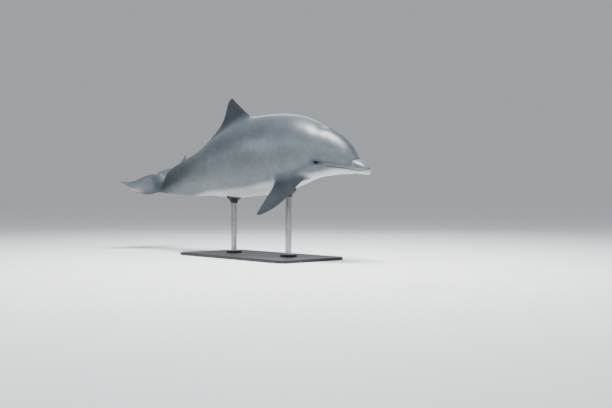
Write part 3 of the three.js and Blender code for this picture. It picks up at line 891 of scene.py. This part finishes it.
def feed(tree, socket, value):
    """Sets an input to a value, or links it to the output of another node."""
    if isinstance(value, bpy.types.NodeSocket):
        tree.links.new(value, socket)
    else:
        socket.default_value = value


def shaded(tree, **values):
    """Feeds the inputs of a material's shader: coat_weight is its Coat Weight."""
    shader = tree.nodes["Principled BSDF"]
    for key, value in values.items():
        feed(tree, shader.inputs[key.replace("_", " ").title().replace("Ior", "IOR")], value)


def add_node(tree, kind, inputs=None, **settings):
    node = tree.nodes.new("ShaderNode" + kind)
    for key, value in settings.items():
        setattr(node, key, value)
    for key, value in (inputs or {}).items():
        feed(tree, node.inputs[key], value)
    return node


def attribute(tree, name, output="Fac"):
    return add_node(tree, "Attribute", attribute_name=name).outputs[output]


def object_place(tree):
    return add_node(tree, "TexCoord").outputs["Object"]


def noise(tree, where, scale, detail=4.0, roughness=0.55, distortion=0.0):
    inputs = {"Vector": where, "Scale": scale, "Detail": detail}
    inputs.update({"Roughness": roughness, "Distortion": distortion})
    return add_node(tree, "TexNoise", inputs).outputs["Fac"]


def combined(tree, operation, first, second):
    return add_node(tree, "Math", {0: first, 1: second}, operation=operation).outputs[0]


def stretched(tree, value, low, high, to_low=0.0, to_high=1.0):
    inputs = {"Value": value, "From Min": low, "From Max": high, "To Min": to_low, "To Max": to_high}
    return add_node(tree, "MapRange", inputs).outputs["Result"]


def colour_ramp(tree, value, stops):
    node = add_node(tree, "ValToRGB", {"Fac": value})
    ramp = node.color_ramp
    while len(ramp.elements) < len(stops):
        ramp.elements.new(0.5)
    for element, (position, colour) in zip(ramp.elements, stops):
        element.position = position
        element.color = (*colour, 1)
    return node.outputs["Color"]


def mixed(tree, share, first, second):
    """A mix of two colours, whose sockets come after those for other kinds of value."""
    return add_node(tree, "Mix", {0: share, 6: first, 7: second}, data_type="RGBA").outputs[2]


def bumps(tree, layers):
    """The normal that bump layers give, each (height, distance in metres, strength)."""
    below = {}
    for height, distance, strength in layers:
        inputs = {"Height": height, "Distance": distance, "Strength": strength, **below}
        below = {"Normal": add_node(tree, "Bump", inputs).outputs["Normal"]}
    return below["Normal"]


# Colours by tone on the skin, by angle from the pupil on the eye, and by height in the sky.
SKIN_COLOURS = [
    (0.0, (0.60, 0.60, 0.575)),
    (0.2, (0.42, 0.44, 0.437)),
    (0.48, (0.16, 0.187, 0.202)),
    (0.7, (0.082, 0.101, 0.116)),
    (0.88, (0.043, 0.054, 0.065)),
    (1.0, (0.026, 0.033, 0.041)),
]
EYE_COLOURS = [
    (0.0, (0.003, 0.004, 0.006)),  # the pupil
    (0.125, (0.004, 0.005, 0.007)),
    (0.14, (0.022, 0.015, 0.010)),  # the iris
    (0.21, (0.034, 0.024, 0.016)),
    (0.235, (0.007, 0.006, 0.006)),  # its dark rim
    (0.28, (0.035, 0.030, 0.027)),  # the ball
    (0.36, (0.016, 0.014, 0.013)),
]
SKY_COLOURS = [
    (0.0, (0.60, 0.625, 0.645)),
    (0.25, (0.60, 0.63, 0.66)),
    (1.0, (0.95, 0.98, 1.0)),
]
SKY_STRENGTH = 0.58
SCAR_COLOUR = (0.42, 0.44, 0.44, 1)
# painted shade: the near-black toward which the slits and the eye's pocket are darkened
SLIT_SHADE_COLOUR = (0.02, 0.022, 0.025, 1)
PAINT_COLOURS = [(0.036, 0.038, 0.042, 1), (0.052, 0.055, 0.06, 1)]
STEEL_COLOURS = [(0.46, 0.47, 0.48, 1), (0.6, 0.61, 0.62, 1)]
FLOOR_COLOURS = [(0.74, 0.76, 0.78, 1), (0.79, 0.81, 0.83, 1)]

SCAR_STRENGTH = 0.2
# how strongly the painted shade darkens the slits and the eye's pocket
SLIT_SHADE_STRENGTH = 0.72
BRUSHING = (1, 1, 160)  # noise that is finer upward gives the steel lines that run round it
STREAK_LENGTH = 3.5  # the scale of the streaks' noise along them; across them it is far finer
RAKES = {"angle": 0.16, "scale": 330.0, "low": 0.66, "high": 0.72}  # from other dolphins' teeth
SCRATCHES = {"angle": -0.5, "scale": 240.0, "low": 0.70, "high": 0.76}


def streaks(tree, lie, angle, scale, low, high):
    """Fine lines that run along the body, turned by an angle."""
    turned = add_node(tree, "Mapping", {"Vector": lie, "Rotation": (0, 0, angle)}).outputs[0]
    size = (STREAK_LENGTH, scale, 1)
    pulled = add_node(tree, "Mapping", {"Vector": turned, "Scale": size}).outputs[0]
    return stretched(tree, noise(tree, pulled, scale=1.0, detail=2.0), low, high)


def skin_material():
    material, tree = new_material("dolphin_skin")
    where = object_place(tree)
    lie = attribute(tree, "lie", "Vector")
    cloudy = noise(tree, where, scale=7.0, detail=5.0, roughness=0.6, distortion=0.4)
    mottle = noise(tree, where, scale=34.0, detail=6.0, roughness=0.62)
    grain = noise(tree, where, scale=420.0)

    clouds = stretched(tree, cloudy, 0.3, 0.7, to_low=-0.05, to_high=0.05)
    spots = stretched(tree, mottle, 0.3, 0.7, to_low=-0.035, to_high=0.035)
    tone = combined(tree, "ADD", combined(tree, "ADD", attribute(tree, "tone"), clouds), spots)
    colour = colour_ramp(tree, tone, SKIN_COLOURS)
    patchy = stretched(tree, noise(tree, where, scale=3.1, detail=2.0), 0.5, 0.62)
    lines = combined(tree, "MAXIMUM", streaks(tree, lie, **RAKES), streaks(tree, lie, **SCRATCHES))
    marks = combined(tree, "MULTIPLY", lines, patchy)
    colour = mixed(tree, combined(tree, "MULTIPLY", marks, SCAR_STRENGTH), colour, SCAR_COLOUR)
    # Painted shade: the slits and the eye's pocket darkened toward a near-black colour.
    painted_shade = combined(tree, "MULTIPLY", attribute(tree, "slit_shade"), SLIT_SHADE_STRENGTH)
    colour = mixed(tree, painted_shade, colour, SLIT_SHADE_COLOUR)
    rough = stretched(tree, mottle, 0.25, 0.75, to_low=0.36, to_high=0.5)
    normal = bumps(tree, [(cloudy, 0.004, 0.25), (marks, 0.0004, 0.5), (grain, 0.0003, 0.3)])
    shaded(tree, base_color=colour, roughness=rough, normal=normal)
    shaded(tree, coat_weight=0.22, coat_roughness=0.3)
    shaded(tree, subsurface_weight=0.04, subsurface_scale=0.02)
    return material


def eye_material():
    material, tree = new_material("dolphin_eye")
    flecks = noise(tree, object_place(tree), scale=900.0)
    change = stretched(tree, flecks, 0.3, 0.7, to_low=-0.02, to_high=0.02)
    turn = combined(tree, "ADD", attribute(tree, "from_pupil"), change)
    shaded(tree, base_color=colour_ramp(tree, turn, EYE_COLOURS), roughness=0.2)
    shaded(tree, coat_weight=0.12, coat_roughness=0.03, specular_ior_level=0.15)
    return material


def paint_material():
    material, tree = new_material("stand_paint")
    where = object_place(tree)
    orange_peel = noise(tree, where, scale=700.0, detail=3.0)
    wear = stretched(tree, noise(tree, where, scale=5.0, detail=7.0, roughness=0.7), 0.35, 0.75)
    rough = stretched(tree, wear, 0, 1, to_low=0.42, to_high=0.56)
    normal = bumps(tree, [(orange_peel, 0.0002, 0.35)])
    shaded(tree, base_color=mixed(tree, wear, *PAINT_COLOURS), roughness=rough, normal=normal)
    shaded(tree, coat_weight=0.15, coat_roughness=0.3)
    return material


def steel_material():
    material, tree = new_material("brushed_steel")
    brushed = {"Vector": object_place(tree), "Scale": BRUSHING}
    pulled = add_node(tree, "Mapping", brushed).outputs[0]
    rings = noise(tree, pulled, scale=12.0, detail=5.0, roughness=0.6)
    rough = stretched(tree, rings, 0.3, 0.7, to_low=0.24, to_high=0.38)
    normal = bumps(tree, [(rings, 0.0001, 0.4)])
    shaded(tree, base_color=mixed(tree, rings, *STEEL_COLOURS), roughness=rough, normal=normal)
    shaded(tree, metallic=1.0, anisotropic=0.4)
    return material


def floor_material():
    material, tree = new_material("pale_floor")
    cloudy = noise(tree, object_place(tree), scale=0.8, detail=3.0)
    shaded(tree, base_color=mixed(tree, cloudy, *FLOOR_COLOURS), roughness=0.7)
    return material


# ---- pieces
FLESH = [
    "head", "upper_jaw", "lower_jaw", "neck", "chest", "midbody", "loin", "tail_stock_front",
    "tail_stock_rear", "dorsal_fin", "flipper_left", "flipper_right", "fluke_left", "fluke_right",
]
SHARP_EDGE = 40  # degrees; edges of the stand that bend more than this look sharp


def show(name, mesh, material, nodes=(), smooth_under=None):
    """Adds a piece of the visual model, in place of these nodes of the part."""
    for polygon in mesh.polygons:
        polygon.use_smooth = True
    if smooth_under:
        mesh.set_sharp_from_angle(angle=math.radians(smooth_under))
    mesh.materials.clear()
    mesh.materials.append(material)
    mesh.name = name
    piece = add_object(name, mesh)
    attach(piece, "root")
    if nodes:
        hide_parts(*nodes)


EYE_POINTS = 48
EYE_RINGS = 39
GAZE = {"ahead": 0.12, "down": 0.05}  # how far the eye looks ahead and down for each step out
CORNEA = {"bulge": 0.03, "width": 0.5}  # a share of the radius, and an angle from the pupil


def eye_mesh(side):
    """A ball whose pole looks straight out of the pupil, with a cornea that stands a little proud."""
    centre, forward, left, up = frame_at(0.0)
    out = skin_out(EYE["along"], EYE["up"]) + EYE["proud"] - EYE["radius"]
    middle = centre - forward * EYE["along"] + left * side * out + up * EYE["up"]
    gaze = left * side + forward * GAZE["ahead"] - up * GAZE["down"]
    gaze /= np.linalg.norm(gaze)
    across = np.cross(gaze, up)
    across /= np.linalg.norm(across)
    upward = np.cross(across, gaze)
    angle = 2 * math.pi * np.arange(EYE_POINTS) / EYE_POINTS
    rings = []
    for turn in np.linspace(0, math.pi, EYE_RINGS + 2)[1:-1]:
        radius = EYE["radius"] * (1 + CORNEA["bulge"] * bell(turn, CORNEA["width"]))
        ring = math.sin(turn) * (across * np.cos(angle)[:, None] + upward * np.sin(angle)[:, None])
        rings.append((middle + radius * (ring + gaze * math.cos(turn))) * MM)
    mesh = faced_out(mesh_over_rings(np.array(rings)))
    ways = (points_of(mesh) / MM - middle) @ gaze / EYE["radius"]
    from_pupil = np.arccos(np.clip(ways, -1, 1)) / math.pi
    write_numbers(mesh, "from_pupil", from_pupil)
    return mesh


TURNED_SIDES = 72
ROUNDING_STEPS = 4
WELD = 1e-7  # metres; points of a turned piece nearer than this are made one


def turned_mesh(outline, x, y, closed=False):
    """A lathe's work: an outline of (radius, height) turned round an upright axis."""
    angle = 2 * math.pi * np.arange(TURNED_SIDES)[:, None] / TURNED_SIDES
    radius, height = np.array(outline, float).T
    spots = [x + radius * np.cos(angle), y + radius * np.sin(angle), height + 0 * angle]
    points = np.stack(spots, axis=-1)
    count = len(outline)
    faces = []
    for a in range(TURNED_SIDES):
        b = (a + 1) % TURNED_SIDES
        for k in range(count if closed else count - 1):
            n = (k + 1) % count
            faces.append([a * count + k, b * count + k, b * count + n, a * count + n])
    mesh = bpy.data.meshes.new("turned")
    mesh.from_pydata((points.reshape(-1, 3) * MM).tolist(), [], faces)
    worker = bmesh.new()
    worker.from_mesh(mesh)
    bmesh.ops.remove_doubles(worker, verts=worker.verts, dist=WELD)
    worker.to_mesh(mesh)
    worker.free()
    return faced_out(mesh)


def rounded_corner(radius, height, size):
    """The outline of an outer edge that is rounded from the side onto the top."""
    turns = [math.pi / 2 * i / ROUNDING_STEPS for i in range(ROUNDING_STEPS + 1)]
    return [(radius - size + size * math.cos(t), height - size + size * math.sin(t)) for t in turns]


BASE = {"length": 1250, "width": 580, "thick": 20, "corner": 60, "edge": 3}
BASE_CORNER_STEPS = 12
RODS = {"front": 720, "rear": 1390}
ROD = {"radius": 21, "entry": 16, "edge": 2}
FOOT = {"radius": 58, "height": 14, "edge": 3}
SADDLE_OUTLINE = [(27, 0), (30, 12), (52, 36), (56, 44), (56, 102)]  # (radius, height)
SADDLE_LEVELS = 35
SADDLE_DROP = 46  # from the belly to the saddle's foot
GAP = 0.3  # between neighbours, as in the solids
SCREW = {"radius": 5.5, "height": 3, "edge": 2, "socket": 2.4, "depth": 2, "from_rod": 41, "count": 6}


def base_mesh():
    half_length, half_width = BASE["length"] / 2, BASE["width"] / 2
    corner, edge, thick = BASE["corner"], BASE["edge"], BASE["thick"]
    profile = [(edge, 0)]  # (how far in from the side, height)
    for i in range(1, ROUNDING_STEPS + 1):
        turn = math.pi / 2 * i / ROUNDING_STEPS
        profile.append((edge - edge * math.sin(turn), edge * (1 - math.cos(turn))))
    profile += [(inset, thick - height) for inset, height in reversed(profile)]
    turns = np.linspace(0, math.pi / 2, BASE_CORNER_STEPS + 1)
    rings = []
    for inset, height in profile:
        radius = corner - inset
        ring = []
        for quarter, (sx, sy) in enumerate([(1, 1), (-1, 1), (-1, -1), (1, -1)]):
            for t in turns + quarter * math.pi / 2:
                x = sx * (half_length - corner) + radius * math.cos(t)
                y = sy * (half_width - corner) + radius * math.sin(t)
                ring.append((x * MM, y * MM, height * MM))
        rings.append(ring)
    return faced_out(mesh_over_rings(np.array(rings)))


def disc_mesh(x, y, bottom, top, shape, hole=0):
    """A rod or a foot: a disc with a rounded upper edge, and with a hole through it if one is given."""
    edge = rounded_corner(shape["radius"], top, shape["edge"])
    outline = [(hole, bottom), (shape["radius"], bottom), *edge, (hole, top)]
    return turned_mesh(outline, x, y, closed=hole > 0)


def saddle_mesh(x, y, bottom, rod_top, hole, skin):
    """A cup over the rod's end, cut to the belly's shape and a hair below it."""
    radius_at = curve_through([(height, radius) for radius, height in SADDLE_OUTLINE])
    levels = np.linspace(0, SADDLE_OUTLINE[-1][1], SADDLE_LEVELS)
    sides = [(float(radius_at(level)), bottom + level) for level in levels]
    socket = [(0, rod_top + GAP), (hole, rod_top + GAP), (hole, bottom)]
    whole = turned_mesh([*socket, *sides, (0, sides[-1][1])], x, y)
    cup = joined([whole, skin.copy()], "DIFFERENCE")
    set_points(cup, points_of(cup) - np.array([0, 0, GAP * MM]))
    return cup


def screw_mesh(x, y, bottom):
    """The round head of a screw with its socket."""
    radius, socket = SCREW["radius"], SCREW["socket"]
    top = bottom + SCREW["height"]
    floor = top - SCREW["depth"]
    outline = [(0, floor), (socket, floor), (socket, top)]
    outline += [*rounded_corner(radius, top, SCREW["edge"]), (radius, bottom), (0, bottom)]
    return turned_mesh(outline, x, y)


def stand_pieces(skin, paint, steel):
    def show_painted(name, mesh, node):
        show(name, mesh, paint, [node], SHARP_EDGE)

    def show_steel(name, mesh, *nodes):
        show(name, mesh, steel, nodes, SHARP_EDGE)

    show_painted("stand_base_plate", base_mesh(), "stand_base")
    bottom = BASE["thick"] + GAP
    flange = bottom + FOOT["height"]
    hole = ROD["radius"] + GAP
    for name, along in RODS.items():
        x, y, contact = placed(np.array([[along, 0, belly_at(float(along))]]))[0] / MM
        under = contact - SADDLE_DROP
        top = under + ROD["entry"]
        show_steel(f"stand_post_{name}", disc_mesh(x, y, bottom, top, ROD), f"stand_rod_{name}")
        foot = disc_mesh(x, y, bottom, flange, FOOT, hole)
        show_painted(f"stand_flange_{name}", foot, f"stand_foot_{name}")
        saddle = saddle_mesh(x, y, under, top, hole, skin)
        show_painted(f"stand_cup_{name}", saddle, f"stand_saddle_{name}")
        for i in range(SCREW["count"]):
            turn = 2 * math.pi * (i + 0.5) / SCREW["count"]
            screw_x = x + SCREW["from_rod"] * math.cos(turn)
            screw_y = y + SCREW["from_rod"] * math.sin(turn)
            show_steel(f"stand_screw_{name}_{i + 1}", screw_mesh(screw_x, screw_y, flange))


# ---- the picture
LAMP_AIM = (0, 0, 0.7)
LAMPS = [
    ("key", (1.2, -0.6, 4.2), 2.2, 420, (1, 0.985, 0.96)),  # name, place, size, power and colour
    ("fill", (3.5, -4.5, 1.6), 3, 10, (0.9, 0.96, 1)),
    ("back", (-3, 3, 3.5), 3, 40, (0.92, 0.97, 1)),
]
FLOOR_REACH = 60  # metres, from the middle to each side
# The photo's camera, fitted to the animal at its real size.
CAMERA = {"place": (4.5671, -3.5471, 0.3870), "way": (-0.751, 0.660, 0), "lens": 46.65, "sensor": 36}


def turned_to(way):
    return Vector(way).to_track_quat("-Z", "Y").to_euler()


def add_lamp(name, place, size, power, colour):
    light = bpy.data.lights.new(name, "AREA")
    light.shape = "DISK"
    light.size = size
    light.energy = power
    light.color = colour
    lamp = add_object(name, light)
    lamp.location = place
    lamp.rotation_euler = turned_to(Vector(LAMP_AIM) - Vector(place))


def add_floor():
    mesh = bpy.data.meshes.new("floor")
    signs = [(-1, -1), (1, -1), (1, 1), (-1, 1)]
    corners = [(x * FLOOR_REACH, y * FLOOR_REACH, 0) for x, y in signs]
    mesh.from_pydata(corners, [], [(0, 1, 2, 3)])
    mesh.materials.append(floor_material())
    add_object("floor", mesh)


def add_world():
    world = bpy.data.worlds.new("studio")
    bpy.context.scene.world = world
    world.use_nodes = True
    tree = world.node_tree
    way = add_node(tree, "TexCoord").outputs["Generated"]
    height = add_node(tree, "SeparateXYZ", {"Vector": way}).outputs["Z"]
    background = tree.nodes["Background"]
    tree.links.new(colour_ramp(tree, height, SKY_COLOURS), background.inputs["Color"])
    background.inputs["Strength"].default_value = SKY_STRENGTH


def add_camera():
    camera = bpy.data.cameras.new("camera")
    camera.lens = CAMERA["lens"]
    camera.sensor_width = CAMERA["sensor"]
    viewer = add_object("camera", camera)
    viewer.location = CAMERA["place"]
    viewer.rotation_euler = turned_to(CAMERA["way"])
    bpy.context.scene.camera = viewer


skin, fin_surfaces = skin_mesh()
markings(skin, fin_surfaces)
show("dolphin_skin", skin, skin_material(), FLESH)
eye_look = eye_material()
for side_name, side in (("left", 1), ("right", -1)):
    show(f"eyeball_{side_name}", eye_mesh(side), eye_look, [f"eye_{side_name}"])
stand_pieces(skin, paint_material(), steel_material())
add_floor()
add_world()
for lamp_values in LAMPS:
    add_lamp(*lamp_values)
bpy.context.scene.view_settings.look = "AgX - Medium High Contrast"
add_camera()
